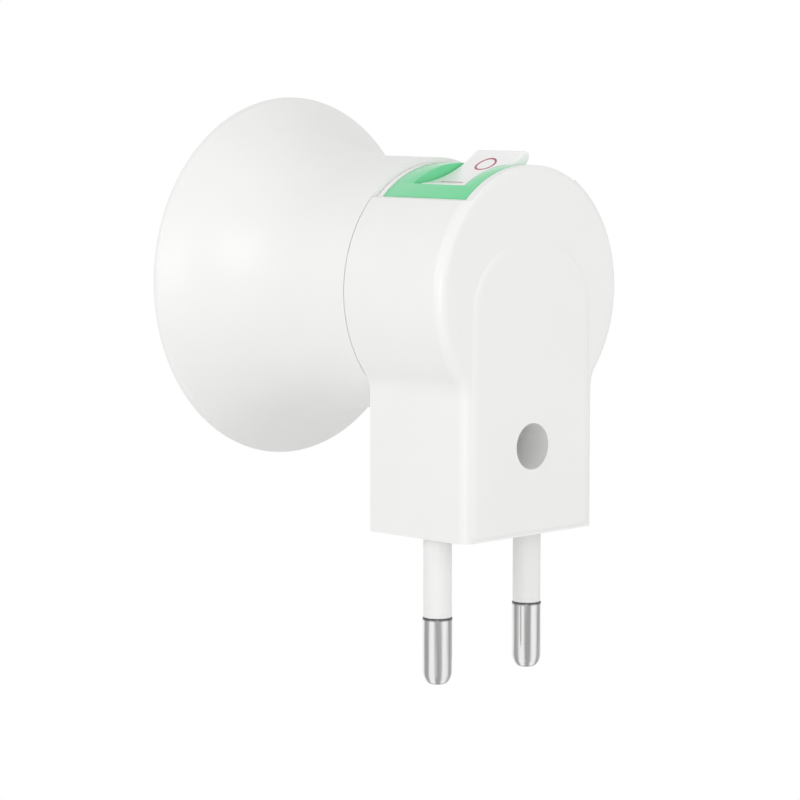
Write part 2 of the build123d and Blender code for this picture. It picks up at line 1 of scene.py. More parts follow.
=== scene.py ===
import bmesh
import bpy
from math import cos, pi, radians, sin, sqrt
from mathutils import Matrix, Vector


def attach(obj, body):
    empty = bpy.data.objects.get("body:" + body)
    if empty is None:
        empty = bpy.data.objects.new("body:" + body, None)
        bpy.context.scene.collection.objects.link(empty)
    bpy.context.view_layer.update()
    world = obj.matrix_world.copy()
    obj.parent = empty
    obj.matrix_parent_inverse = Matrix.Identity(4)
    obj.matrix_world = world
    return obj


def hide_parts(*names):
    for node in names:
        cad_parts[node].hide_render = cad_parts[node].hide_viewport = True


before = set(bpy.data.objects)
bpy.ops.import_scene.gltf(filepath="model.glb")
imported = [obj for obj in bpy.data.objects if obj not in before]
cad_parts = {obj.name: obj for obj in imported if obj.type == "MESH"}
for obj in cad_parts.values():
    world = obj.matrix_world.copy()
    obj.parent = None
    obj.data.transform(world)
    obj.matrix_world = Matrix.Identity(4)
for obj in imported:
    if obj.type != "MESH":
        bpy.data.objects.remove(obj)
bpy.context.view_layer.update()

# Bell: the front of the holder. Trumpet mouth, neck, socket lip and the tongue that closes the
# plug block are one injection moulding in white ABS, satin from the spark-eroded mould. The
# rear half is the same plastic: a short drum that runs down into the plug block.


def linear(code):
    """sRGB hex to the linear colour that the shaders work in."""
    parts = [int(code[i:i + 2], 16) / 255 for i in (1, 3, 5)]
    return [c / 12.92 if c <= 0.04045 else ((c + 0.055) / 1.055) ** 2.4 for c in parts] + [1.0]


def wire(tree, item, links):
    """Joins sockets of a node to the outputs that feed them."""
    for key, source in links.items():
        tree.links.new(source, item.inputs[key])


def add(tree, kind, settings=None, sockets=None, links=None):
    """Adds one node with its settings and joins it up."""
    item = tree.nodes.new(kind)
    for key, value in (settings or {}).items():
        setattr(item, key, value)
    for key, value in (sockets or {}).items():
        item.inputs[key].default_value = value
    wire(tree, item, links or {})
    return item


def started(name, constants):
    """Starts a material, with constants on the shader's own sockets. Gives the material, its
    tree, its shader and the place on the piece that its patterns follow."""
    material = bpy.data.materials.new(name)
    material.use_nodes = True
    tree = material.node_tree
    shader = tree.nodes["Principled BSDF"]
    for key, value in constants.items():
        shader.inputs[key].default_value = value
    return material, tree, shader, add(tree, "ShaderNodeTexCoord").outputs["Object"]


def moulded_plastic(name, pale, deep, roughness, grain_mm, grain_depth_mm, gloss=None):
    """Injection moulded plastic: an even colour with faint flow marks, about 14 mm across, under
    the fine grain that the mould leaves."""
    flow_mm, uneven = 14, 0.05
    material, tree, shader, place = started(name, {"IOR": 1.53, **(gloss or {})})
    flow = add(tree, "ShaderNodeTexNoise",
               sockets={"Scale": 1000 / flow_mm, "Detail": 3.0, "Roughness": 0.55},
               links={"Vector": place})
    tint = add(tree, "ShaderNodeMix", {"data_type": "RGBA"}, {6: linear(pale), 7: linear(deep)},
               {0: flow.outputs["Fac"]})
    sheen = add(tree, "ShaderNodeMapRange",
                sockets={"To Min": roughness - uneven, "To Max": roughness + uneven},
                links={"Value": flow.outputs["Fac"]})
    grain = add(tree, "ShaderNodeTexNoise", sockets={"Scale": 1000 / grain_mm, "Detail": 2.0},
                links={"Vector": place})
    relief = add(tree, "ShaderNodeBump",
                 sockets={"Strength": 0.4, "Distance": grain_depth_mm / 1000},
                 links={"Height": grain.outputs["Fac"]})
    wire(tree, shader, {"Base Color": tint.outputs[2], "Roughness": sheen.outputs["Result"],
                        "Normal": relief.outputs["Normal"]})
    return material


def dress(node, material):
    """Gives a CAD piece its real finish."""
    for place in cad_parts[node].material_slots:
        place.material = material


# The grain is about 0.1 mm on the real part, drawn at 0.35 mm so that it shows as a soft satin
white_abs = moulded_plastic("white ABS, moulded", "#F4F4F3", "#EEEEEC", 0.36, 0.35, 0.010)
dress("bell_shell", white_abs)
dress("rear_housing", white_abs)

# Screw shell: aluminium sheet 0.35 mm thick, drawn to a cup that steps in at its foot, with the
# round thread of an E27 cap rolled into its wall. The ribs of the neck hold it.
mm = 0.001
sharp_edge = radians(35.0)
lamp_up = 32.3
lamp_centre, lamp_way = (0, 0, lamp_up), (0, 1, 0)


def eased(corners, steps=5):
    """An outline whose corners, given as (along, radius, round), are eased by their own rounds."""
    most = 0.48
    outline = []
    for i, (far, radius, ease) in enumerate(corners):
        here = Vector((far, radius))
        if ease == 0:
            outline.append((far, radius))
            continue
        before = Vector(corners[i - 1][:2]) - here
        after = Vector(corners[(i + 1) % len(corners)][:2]) - here
        start = here + before.normalized() * min(ease, most * before.length)
        end = here + after.normalized() * min(ease, most * after.length)
        for step in range(steps + 1):
            t = step / steps
            outline.append(tuple(start * (1 - t) ** 2 + here * 2 * t * (1 - t) + end * t ** 2))
    return outline


def as_piece(name, bm):
    """Closes a mesh and puts it in the scene."""
    bmesh.ops.recalc_face_normals(bm, faces=bm.faces)
    mesh = bpy.data.meshes.new(name)
    bm.to_mesh(mesh)
    bm.free()
    piece = bpy.data.objects.new(name, mesh)
    bpy.context.scene.collection.objects.link(piece)
    return piece


def turned(name, outline, foot, along, steps, ring=False, thread=None):
    """A round piece: an outline of (along, radius) points in mm spun about its axis. A ring has a
    closed outline; a thread gives the depth pressed in at a place along and an angle round."""
    bm = bmesh.new()
    axis = Vector(along).normalized()
    other = axis.cross(Vector((0, 0, 1)) if abs(axis.z) < 0.5 else Vector((1, 0, 0))).normalized()
    side = other.cross(axis)
    loops = []
    for far, radius in outline:
        loop = []
        for step in range(steps if radius > 1e-6 else 1):
            angle = 2 * pi * step / steps
            reach = radius - (thread(far, angle) if thread else 0.0)
            place = Vector(foot) + axis * far + (side * cos(angle) + other * sin(angle)) * reach
            loop.append(bm.verts.new(place * mm))
        loops.append(loop)
    for low, high in zip(loops, loops[1:] + (loops[:1] if ring else [])):
        for step in range(steps):
            after = (step + 1) % steps
            corners = [low[step % len(low)], low[after % len(low)],
                       high[after % len(high)], high[step % len(high)]]
            bm.faces.new(list(dict.fromkeys(corners)))
    return as_piece(name, bm)


def rolled_metal(name, pale, deep, roughness, line_mm, stretch):
    """Bare metal with fine lines from drawing, rolling or turning, long where the pattern's scale
    is small, and slightly duller patches, about 3 mm across, from handling."""
    patch_mm, line_depth_mm = 3.0, 0.004
    material, tree, shader, place = started(name, {"Metallic": 1.0})
    run = add(tree, "ShaderNodeMapping", sockets={"Scale": stretch}, links={"Vector": place})
    lines = add(tree, "ShaderNodeTexNoise",
                sockets={"Scale": 1000 / line_mm, "Detail": 3.0, "Roughness": 0.6},
                links={"Vector": run.outputs["Vector"]})
    tint = add(tree, "ShaderNodeMix", {"data_type": "RGBA"}, {6: linear(deep), 7: linear(pale)},
               {0: lines.outputs["Fac"]})
    patches = add(tree, "ShaderNodeTexNoise", sockets={"Scale": 1000 / patch_mm, "Detail": 2.0},
                  links={"Vector": place})
    dull = add(tree, "ShaderNodeMapRange",
               sockets={"To Min": roughness - 0.06, "To Max": roughness + 0.08},
               links={"Value": patches.outputs["Fac"]})
    relief = add(tree, "ShaderNodeBump",
                 sockets={"Strength": 0.25, "Distance": line_depth_mm * mm},
                 links={"Height": lines.outputs["Fac"]})
    wire(tree, shader, {"Base Color": tint.outputs[2], "Roughness": dull.outputs["Result"],
                        "Normal": relief.outputs["Normal"]})
    return material


def finished(piece, material, body, node=None):
    """Smooths a piece up to its sharp edges, gives it its finish and its body, and hides the CAD
    node that it replaces."""
    piece.data.shade_smooth()
    piece.data.set_sharp_from_angle(angle=sharp_edge)
    piece.data.materials.clear()
    piece.data.materials.append(material)
    if node:
        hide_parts(node)
    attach(piece, body)


shell_mouth, thread_end, foot_start, foot_end = -30.25, -19.35, -17.85, -13.6
root_r, foot_r, foot_hole_r, sheet = 13.3, 12.3, 8.9, 0.35
thread_pitch, thread_depth, run_in, run_out = 3.629, 1.1, 1.4, 1.6


def e27_thread(far, angle):
    """Depth of the rolled thread, right-handed, fading out at the mouth and before the step."""
    fade = min((far - shell_mouth) / run_in, (thread_end - far) / run_out, 1.0)
    if fade <= 0:
        return 0.0
    wave = 0.5 - 0.5 * cos(2 * pi * (far / thread_pitch - angle / (2 * pi)))
    return thread_depth * wave * (3 - 2 * fade) * fade ** 2


rows = 54
wall_rows = [shell_mouth + (thread_end - shell_mouth) * i / rows for i in range(rows + 1)]
inner_wall = [(far, root_r) for far in wall_rows]
outer_wall = [(far, root_r + sheet) for far in reversed(wall_rows)]
foot = eased([
    (foot_start, foot_r, 0.8), (foot_end - sheet, foot_r, 0.5),
    (foot_end - sheet, foot_hole_r, 0), (foot_end, foot_hole_r, 0),
    (foot_end, foot_r + sheet, 0.8), (foot_start, foot_r + sheet, 0.8),
])
screw_shell = turned("screw_shell_rolled", inner_wall + foot + outer_wall, lamp_centre, lamp_way,
                     144, ring=True, thread=e27_thread)
# Bright sheet with fine rings round it from the rolls, drawn 0.5 mm apart so that they show
aluminium = rolled_metal("aluminium, drawn and rolled", "#E4E4E2", "#C9C9C7", 0.24, 0.5,
                         (0.04, 1.0, 0.04))
finished(screw_shell, aluminium, "holder", "screw_shell")

# Insulating board behind the shell: punched from resin-bonded paper, brown, with the layers and
# fibres of the paper just showing. The ribs of the neck hold it against the register ring.
board, tree, shader, place = started("resin-bonded paper board, punched",
                                     {"Roughness": 0.55, "IOR": 1.55})
# Fibres 0.5 mm wide and 2 mm long, several times the real ones, so that they show
fibre_mm, fibre_stretch = 0.5, (1.0, 1.0, 0.25)
lay = add(tree, "ShaderNodeMapping", sockets={"Scale": fibre_stretch}, links={"Vector": place})
fibres = add(tree, "ShaderNodeTexNoise",
             sockets={"Scale": 1000 / fibre_mm, "Detail": 4.0, "Roughness": 0.65},
             links={"Vector": lay.outputs["Vector"]})
tint = add(tree, "ShaderNodeMix", {"data_type": "RGBA"},
           {6: linear("#7B5A38"), 7: linear("#B08C60")}, {0: fibres.outputs["Fac"]})
relief = add(tree, "ShaderNodeBump", sockets={"Strength": 0.3, "Distance": 0.02 * mm},
             links={"Height": fibres.outputs["Fac"]})
wire(tree, shader, {"Base Color": tint.outputs[2], "Normal": relief.outputs["Normal"]})
dress("socket_base", board)

# Rivets: semi-tubular aluminium rivets. Each has a low round head in front and is rolled over
# behind, with the dimple of the setting punch in both ends.
rivet_r = 1.0
# Heads as (height, radius, round), from the rim to the bottom of the dimple
set_head = [(0, 1.8, 0), (0.15, 1.8, 0.2), (0.6, 1.45, 0.4), (0.58, 0.85, 0.15),
            (0.32, 0.55, 0.2), (0.25, 0, 0)]
rolled_head = [(0, 1.8, 0), (0.2, 1.8, 0.2), (0.6, 1.4, 0.4), (0.58, 0.85, 0.15),
               (0.2, 0.6, 0.2), (0.15, 0, 0)]
# Each rivet's place across and above the lamp axis, and the faces that its heads grip
rivet_places = {
    "shell_rivet_left": (-8.2, 6.2, -13.95, -11.1),
    "shell_rivet_right": (8.2, 6.2, -13.95, -10.6),
    "centre_rivet": (0.0, -6.0, -13.95, -10.6),
}
# Cold heading leaves the metal an even, slightly dull silver, cloudy at 0.4 mm
rivet_metal = rolled_metal("aluminium, cold headed", "#D8D8D6", "#BDBDBB", 0.30, 0.4,
                           (1.0, 1.0, 1.0))
for node, (x, up, front, back) in rivet_places.items():
    outline = eased(
        [(front - high, radius, ease) for high, radius, ease in reversed(set_head)]
        + [(front, rivet_r, 0), (back, rivet_r, 0)]
        + [(back + high, radius, ease) for high, radius, ease in rolled_head])
    rivet = turned(node + "_set", outline, (x, 0, lamp_up + up), lamp_way, 48)
    finished(rivet, rivet_metal, "holder", node)

# Contacts and strips: rolled brass strip, punched and bent. The centre leaf springs up to the
# lamp's tip, the others join the pins, the switch and the shell behind the board. Two contact
# points, headed from silver, are riveted to the brass of the switch.
brass_nodes = ("centre_contact", "seesaw_contact", "fixed_terminal", "middle_terminal",
               "live_strip", "switched_strip", "neutral_strip")
# Warm yellow, with rolling lines along the strip, drawn 0.3 mm apart so that they show
brass = rolled_metal("brass strip, rolled", "#E3BE72", "#C79D50", 0.26, 0.3, (1.0, 0.3, 0.06))
for node in brass_nodes:
    dress(node, brass)
# Silver is whiter and smoother than the brass, without lines
silver =rolled_metal("silver contact point, headed", "#E9E7E1", "#CFCDC6", 0.22, 0.3,
                      (1.0, 1.0, 1.0))
dress("moving_point", silver)
dress("fixed_point", silver)

# Switch body: the arched frame on top and the box under it, one moulding in bright green ABS,
# glossier than the housing because its mould is polished. It drops into the housing's pocket,
# turned 5.5 degrees about the lamp axis, and stands in a line with the round of the drum.
switch_turn = radians(5.5)
switch_along = Vector((cos(switch_turn), 0, -sin(switch_turn)))
switch_up = Vector((sin(switch_turn), 0, cos(switch_turn)))
crown, frame_thick, edge_round = 16.75, 0.9, 0.14
frame_end, frame_front, frame_rear = 9.8, -7.8, 7.25
opening_end, opening_front, opening_rear = 7.4, -4.5, 4.8
box_foot, box_floor, box_end, box_side = 4.05, 1.2, 8.4, 5.5
pivot_up, pivot_hole_r = 13.93, 1.05
slot_half, arm_half, point_along, post_half, post_top = 0.4, 1.5, 4.2, 0.8, 7.058
# Cutters run this far, past the faces that they cut: over the frame, beside and under the box
over_frame, past_side, past_foot, past_floor = 20, 6, 1, 2


def on_switch(along, across, up):
    """A place given along, across and above the lamp axis in the turned switch, in mm."""
    return (Vector(lamp_centre) + switch_along * along + switch_up * up
            + Vector((0, across, 0))) * mm


def drawn_out(name, section, near, far, at):
    """A section of (along, up) points drawn out from one side to the other."""
    bm = bmesh.new()
    front = [bm.verts.new(at(along, near, up)) for along, up in section]
    back = [bm.verts.new(at(along, far, up)) for along, up in section]
    bm.faces.new(front)
    bm.faces.new(back[::-1])
    for i in range(len(section)):
        j = (i + 1) % len(section)
        bm.faces.new((front[i], back[i], back[j], front[j]))
    return as_piece(name, bm)


def arched(end, lower, steps=48):
    """Points on the round of the frame, from one end to the other, moved down by this much."""
    places = [end * (2 * i / steps - 1) for i in range(steps + 1)]
    return [(along, sqrt(crown ** 2 - along ** 2) - lower) for along in places]


def block(name, end, front, rear, low, high, middle=0.0):
    """A plain block on the switch's own lines, to cut or join with."""
    section = [(middle - end, low), (middle + end, low), (middle + end, high), (middle - end, high)]
    return drawn_out(name, section, front, rear, on_switch)


def worked(piece, kind, **settings):
    """Carries out one modifier on a piece and keeps the mesh that it leaves."""
    change = piece.modifiers.new(kind.lower(), kind)
    for key, value in settings.items():
        setattr(change, key, value)
    bpy.context.view_layer.update()
    seen = piece.evaluated_get(bpy.context.evaluated_depsgraph_get())
    mesh = bpy.data.meshes.new_from_object(seen)
    piece.modifiers.clear()
    piece.data = mesh


def combined(piece, operation, tool):
    """Cuts a piece with a tool, joins the two or keeps what they share. It uses the tool up."""
    worked(piece, "BOOLEAN", operation=operation, solver="EXACT", object=tool)
    bpy.data.objects.remove(tool)


switch = drawn_out("switch_moulded", arched(frame_end, 0.0) + arched(frame_end, frame_thick)[::-1],
                   frame_front, frame_rear, on_switch)
combined(switch, "DIFFERENCE",
         block("opening", opening_end, opening_front, opening_rear, box_foot, over_frame))
worked(switch, "BEVEL", width=edge_round * mm, segments=3, limit_method="ANGLE",
       angle_limit=radians(60))
box_section = [(-box_end, box_foot), (box_end, box_foot)] + arched(box_end, frame_thick / 2)[::-1]
box = drawn_out("box", box_section, -box_side, box_side, on_switch)
combined(box, "DIFFERENCE",
         block("well", opening_end, opening_front, opening_rear, box_foot + box_floor, over_frame))
combined(switch, "UNION", box)
pivot_hole = [(-past_side, 0), (-past_side, pivot_hole_r),
              (past_side, pivot_hole_r), (past_side, 0)]
combined(switch, "DIFFERENCE",
         turned("pivot_hole", pivot_hole, on_switch(0, 0, pivot_up) / mm, lamp_way, 48))
# The terminals come up through two slots in the floor, and a post stops the seesaw's free arm
for middle in (0.0, -point_along):
    combined(switch, "DIFFERENCE",
             block("slot", slot_half, -arm_half, arm_half, box_foot - past_foot,
                   box_foot + past_floor, middle))
combined(switch, "UNION",
         block("post", post_half, -arm_half, arm_half, box_foot + box_floor / 2, post_top,
               point_along))
# A polished mould leaves almost no grain: a clear gloss that pales where it is seen edge on
green_abs = moulded_plastic("green ABS, polished mould", "#70DC9E", "#60D291", 0.18, 0.35, 0.004,
                            {"Coat Weight": 0.4, "Coat Roughness": 0.12})
finished(switch, green_abs, "holder", "switch_body")

# Pocket edge: the rim of the housing's own pocket, in the same white ABS. It closes up to the
# switch frame at its two ends and behind it, and carries the round of the drum up to it.
drum_r, drum_front, drum_rear, rear_round = 17.398, -8.85, 8.75, 1.4
pocket_end, pocket_side, play, past_drum = 10.58, 7.93, 0.1, 13
rim_drop, rim_under = 0.004, 0.05
ledge_from, ledge_low = frame_end + play, 12.8
ledge_top = sqrt(crown ** 2 - ledge_from ** 2)
rim_section = arched(pocket_end, rim_drop) + arched(pocket_end, frame_thick + rim_under)[::-1]
edge = drawn_out("pocket_edge_moulded", rim_section, frame_rear + play, pocket_side, on_switch)
for end in (-1, 1):
    ledge_section = [(end * ledge_from, ledge_low), (end * past_drum, ledge_low),
                     (end * past_drum, ledge_top), (end * ledge_from, ledge_top)]
    combined(edge, "UNION", drawn_out("ledge", ledge_section, drum_front, drum_rear, on_switch))
rounded = [(drum_rear - rear_round * (1 - sin(angle)), drum_r - rear_round * (1 - cos(angle)))
           for angle in [pi / 2 * i / 10 for i in range(11)]]
drum_outline = [(drum_front, 0), (drum_front, drum_r)] + rounded + [(drum_rear, 0)]
combined(edge, "INTERSECT", turned("drum_round", drum_outline, lamp_centre, lamp_way, 360))
finished(edge, white_abs, "holder")

# Rocker: white ABS with a dished top that a finger presses, two stub pins to turn on and a
# barrel below for the spring. It is moulded in one, hollow from below, in a polished mould.
rocker_tilt = radians(21.0)
rocker_along = Vector((cos(rocker_tilt), 0, -sin(rocker_tilt)))
rocker_up = Vector((sin(rocker_tilt), 0, cos(rocker_tilt)))
pivot = Vector((1.335131, 0, 46.165869))
rocker_front, rocker_rear, rocker_wall, rocker_round = -4.3, 4.6, 1.0, 0.28
dish_low, dish_r, dish_reach = 1.8, 20.05, 5.4
nose_along, nose_up, nose_r = 5.744, 1.911, 0.7
stub_end, stub_r = 5.4, 1.0
barrel_foot, barrel_top, barrel_r = -3.4, 1.3, 2.0
bore_foot, bore_top, bore_r = -3.6, 0.8, 1.15


def on_rocker(along, across, up):
    """A place given along, across and above the rocker's pivot, in mm."""
    return (pivot + rocker_along * along + rocker_up * up + Vector((0, across, 0))) * mm


def dish(along):
    """Height of the dished top above the pivot."""
    return dish_low + dish_r - sqrt(dish_r ** 2 - along ** 2)


# The dish ends in a round nose, from which the end runs in to the barrel's foot
top = [(along, dish(along)) for along in [dish_reach * i / 18 for i in range(-18, 19)]]
nose_turns = [radians(106 - 13 * i) for i in range(13)]
ends = [(nose_along + nose_r * cos(angle), nose_up + nose_r * sin(angle)) for angle in nose_turns]
ends += eased([(6.0, 1.3, 0), (4.7, 0.3, 0.5), (3.2, barrel_foot, 0)], 6)[1:]
other_ends = [(-along, up) for along, up in reversed(ends)]
rocker = drawn_out("rocker_moulded", top + ends + other_ends, rocker_front, rocker_rear, on_rocker)
worked(rocker, "BEVEL", width=rocker_round * mm, segments=4, limit_method="ANGLE",
       angle_limit=radians(40))
# The hollow follows the dish and the two ends, open below
roof_low, roof_rise, roof_end = 0.8, 0.7, 5.25
hollow_foot, hollow_foot_end = -3.5, 2.2
roof = [(along, roof_low + roof_rise * (along / roof_end) ** 2)
        for along in (-roof_end, -3.5, -1.8, 0, 1.8, 3.5, roof_end)]
hollow_section = roof + [(hollow_foot_end, hollow_foot), (-hollow_foot_end, hollow_foot)]
combined(rocker, "DIFFERENCE",
         drawn_out("hollow", hollow_section, rocker_front + rocker_wall,
                   rocker_rear - rocker_wall, on_rocker))
stub_outline = eased([(-stub_end, 0, 0), (-stub_end, stub_r, 0.15),
                      (stub_end, stub_r, 0.15), (stub_end, 0, 0)])
combined(rocker, "UNION", turned("stub_pins", stub_outline, pivot, lamp_way, 48))
for name, operation, low, high, radius in (
        ("barrel", "UNION", barrel_foot, barrel_top, barrel_r),
        ("bore", "DIFFERENCE", bore_foot, bore_top, bore_r)):
    outline = [(low, 0), (low, radius), (high, radius), (high, 0)]
    combined(rocker, operation, turned(name, outline, pivot, rocker_up, 48))
# Whiter and smoother to the eye than the housing, with the grain 0.004 mm deep
rocker_abs = moulded_plastic("white ABS, polished mould", "#FBF9FA", "#F7F5F6", 0.24, 0.35, 0.004)
finished(rocker, rocker_abs, "rocker", "rocker")

# Marks on the rocker: a ring for off on the raised end and a bar for on at the other end, hot
# stamped in dull red foil a few hundredths of a millimetre thick.
foil_top, foil_under = 0.02, -0.05
ring_along, ring_inner_r, ring_outer_r = -2.56, 1.28, 1.58
bar_along = 4.26
# The stamp's pressure leaves the foil matt, with a faint unevenness 0.2 mm apart
foil = moulded_plastic("red foil, hot stamped", "#BE5566", "#A8485A", 0.40, 0.2, 0.003)


def stamped(name, inner, outer):
    """A band of foil that follows the dish, between two closed lines of (along, across) points."""
    bm = bmesh.new()
    loops = [
        [bm.verts.new(on_rocker(along, across, dish(along) + up)) for along, across in line]
        for line, up in ((inner, foil_top), (outer, foil_top),
                         (outer, foil_under), (inner, foil_under))
    ]
    for low, high in zip(loops, loops[1:] + loops[:1]):
        for i in range(len(inner)):
            j = (i + 1) % len(inner)
            bm.faces.new((low[i], low[j], high[j], high[i]))
    finished(as_piece(name, bm), foil, "rocker")


def circle(middle, radius, steps=72):
    """A ring's closed outline."""
    turns = [2 * pi * i / steps for i in range(steps)]
    return [(middle + radius * cos(angle), radius * sin(angle)) for angle in turns]


def bar_line(middle, half_wide, half_long, steps=8):
    """A bar's closed outline with round ends."""
    line = []
    for end in (1, -1):
        for i in range(steps + 1):
            angle = pi * i / steps + (0 if end > 0 else pi)
            line.append((middle + half_wide * cos(angle),
                         end * (half_long - half_wide) + half_wide * sin(angle)))
    return line


stamped("mark_off_ring", circle(ring_along, ring_inner_r), circle(ring_along, ring_outer_r))
stamped("mark_on_bar", bar_line(bar_along, 0.01, 1.86), bar_line(bar_along, 0.16, 2.0))

# Plunger and spring in the rocker's barrel: a turned acetal pin with a round tip, pushed down on
# the seesaw contact by a coil of bright spring wire. Acetal is a faintly warm, waxy white.
acetal = moulded_plastic("white acetal, turned", "#EFEEE9", "#E6E5DF", 0.38, 0.3, 0.004)
dress("plunger", acetal)
# Drawn wire is greyer than sheet, with fine lines 0.2 mm apart
spring_wire = rolled_metal("spring steel wire, drawn", "#A9A9A8", "#8A8A89", 0.28, 0.2,
                           (1.0, 1.0, 0.2))
dress("plunger_spring", spring_wire)

# Fixing screw: a steel pan-head screw with a cross recess, zinc plated, driven from the back into
# the post behind the tongue. It cuts its own thread in the plastic.
screw_up, screw_tip, tip_r = 11.9, -7.2, 0.3
shank_foot, shank_row, shank_r = -6.3, 0.15, 1.45
screw_pitch, screw_thread_depth, flank_slope = 1.2, 0.38, 3.2
screw_thread_foot, screw_thread_top, screw_fade = -6.2, 0.9, 0.5


def screw_thread(far, angle):
    """Depth of the self-tapping thread between its sharp crests."""
    if not screw_thread_foot < far < screw_thread_top:
        return 0.0
    share = (far / screw_pitch - angle / (2 * pi)) % 1.0
    flank = min(1.0, flank_slope * min(share, 1 - share))
    fade = min((far - screw_thread_foot) / screw_fade, (screw_thread_top - far) / screw_fade, 1.0)
    return screw_thread_depth * flank * fade


shank = [(shank_foot + shank_row * i, shank_r) for i in range(51)]
# Pan head as (along, radius, round), from under the head to the middle of its face
head = eased([(1.4, shank_r, 0.1), (1.4, 2.8, 0.12), (2.3, 2.8, 0.5), (3.5, 1.9, 1.1),
              (3.5, 0, 0)], 8)
screw = turned("housing_screw_cut", [(screw_tip, 0), (screw_tip, tip_r)] + shank + head,
               (0, 0, screw_up), lamp_way, 64, thread=screw_thread)
# The recess: two crossed wings that taper from the head's face to their foot, each end given as
# depth, half length and half width
wing_ends = ((3.6, 1.5, 0.36), (2.2, 0.55, 0.22))
for upright in (False, True):
    bm = bmesh.new()
    for depth, half_long, half_wide in wing_ends:
        for a, b in ((-1, -1), (1, -1), (1, 1), (-1, 1)):
            across, up = a * half_long, b * half_wide
            if upright:
                across, up = -up, across
            bm.verts.new(Vector((across, depth, screw_up + up)) * mm)
    corners = list(bm.verts)
    bm.faces.new(corners[:4])
    bm.faces.new(corners[4:][::-1])
    for i in range(4):
        j = (i + 1) % 4
        bm.faces.new((corners[i], corners[j], corners[4 + j], corners[4 + i]))
    combined(screw, "DIFFERENCE", as_piece("recess_wing", bm))
# Bright zinc is a cool silver, a little cloudy at 0.4 mm
zinc_steel = rolled_metal("steel, bright zinc plated", "#D6D8DA", "#BCBEC1", 0.30, 0.4,
                          (1.0, 1.0, 1.0))
finished(screw, zinc_steel, "holder", "housing_screw")

# Plug pins: solid brass, turned to 4 mm at the nose and 3 mm inside the sleeve, with round ends
# and bright nickel plate. Its colour carries painted reflections, broad bright and dark streaks
# along the length, and painted shade, a dark band just below the sleeve and on the tip, which is
# duller too.
pin_sides = ((-8.75, "left"), (8.75, "right"))
pin_r, core_r, core_top = 2.0, 1.5, 9
sleeve_foot, nose_start, pin_tip, tip_flat_r = -11.0, -15, -20.0, 0.8
# Painted reflections: seven bright and dark streaks round each pin, the first at 47.4 degrees,
# stand for the reflections on the plate
reflection_streaks, first_reflection_streak = 7, radians(47.4)
reflection_streak_turn = 2 * pi * reflection_streaks / 2 + reflection_streaks * first_reflection_streak


def nickel_plate(name, x):
    """Bright nickel plate on a drawn rod that stands at this x, in mm, with painted reflection
    streaks and painted shade in its colour.
    """
    material, tree, shader, place = started(name, {"Metallic": 1.0})
    centred = add(tree, "ShaderNodeMapping", sockets={"Location": (-x * mm, 0, 0)},
                  links={"Vector": place})
    # The painted reflection streaks follow a cosine of the angle round the rod
    around = add(tree, "ShaderNodeTexGradient", {"gradient_type": "RADIAL"},
                 links={"Vector": centred.outputs["Vector"]})
    turn = add(tree, "ShaderNodeMath", {"operation": "MULTIPLY_ADD"},
               {1: 2 * pi * reflection_streaks, 2: -reflection_streak_turn}, {0: around.outputs["Fac"]})
    wave = add(tree, "ShaderNodeMath", {"operation": "COSINE"}, links={0: turn.outputs[0]})
    # Fine drawing lines, 0.6 mm wide round the rod so that they show, and 20 times as long
    line_mm, line_stretch, line_depth_mm = 0.6, (1.0, 1.0, 0.05), 0.003
    run = add(tree, "ShaderNodeMapping", sockets={"Scale": line_stretch}, links={"Vector": place})
    lines = add(tree, "ShaderNodeTexNoise",
                sockets={"Scale": 1000 / line_mm, "Detail": 3.0, "Roughness": 0.6},
                links={"Vector": run.outputs["Vector"]})
    # The lines break up the edges of the painted reflection streaks by this share of a streak's
    # swing
    ragged = 1.2
    broken = add(tree, "ShaderNodeMath", {"operation": "MULTIPLY_ADD"},
                 {1: -2 * ragged, 2: ragged}, {0: lines.outputs["Fac"]})
    both = add(tree, "ShaderNodeMath", {"operation": "ADD"},
               links={0: wave.outputs[0], 1: broken.outputs[0]})
    share = add(tree, "ShaderNodeMapRange", {"interpolation_type": "SMOOTHSTEP"},
                {"From Min": 1.0, "From Max": -1.0}, {"Value": both.outputs[0]})
    tint = add(tree, "ShaderNodeMix", {"data_type": "RGBA"},
               {6: linear("#9D9D9E"), 7: linear("#EDEDEC")}, {0: share.outputs["Result"]})
    # Painted shade, dark grey and duller: below the sleeve fully for 0.12 mm and gone by 0.45 mm,
    # and on the last of the tip
    sleeve_shade_full, sleeve_shade_end, tip_shade_end = 0.12, 0.45, 0.35
    height = add(tree, "ShaderNodeSeparateXYZ", links={"Vector": place})
    sleeve_shade = add(tree, "ShaderNodeMapRange", {"interpolation_type": "SMOOTHSTEP"},
                {"From Min": (sleeve_foot - sleeve_shade_end) * mm,
                 "From Max": (sleeve_foot - sleeve_shade_full) * mm},
                {"Value": height.outputs["Z"]})
    tip_shade = add(tree, "ShaderNodeMapRange", {"interpolation_type": "SMOOTHSTEP"},
               {"From Min": (pin_tip + tip_shade_end) * mm, "From Max": pin_tip * mm},
               {"Value": height.outputs["Z"]})
    dull = add(tree, "ShaderNodeMath", {"operation": "MAXIMUM"},
               links={0: sleeve_shade.outputs["Result"], 1: tip_shade.outputs["Result"]})
    # Painted shade: dark grey below the sleeve and on the tip, laid over the painted reflection
    # streaks
    plate_with_painted_light = add(tree, "ShaderNodeMix", {"data_type": "RGBA"}, {7: linear("#5E5E60")},
                {0: dull.outputs[0], 6: tint.outputs[2]})
    gloss = add(tree, "ShaderNodeMapRange", sockets={"To Min": 0.12, "To Max": 0.34},
                links={"Value": dull.outputs[0]})
    relief = add(tree, "ShaderNodeBump",
                 sockets={"Strength": 0.2, "Distance": line_depth_mm * mm},
                 links={"Height": lines.outputs["Fac"]})
    wire(tree, shader, {"Base Color": plate_with_painted_light.outputs[2], "Roughness": gloss.outputs["Result"],
                        "Normal": relief.outputs["Normal"]})
    return material


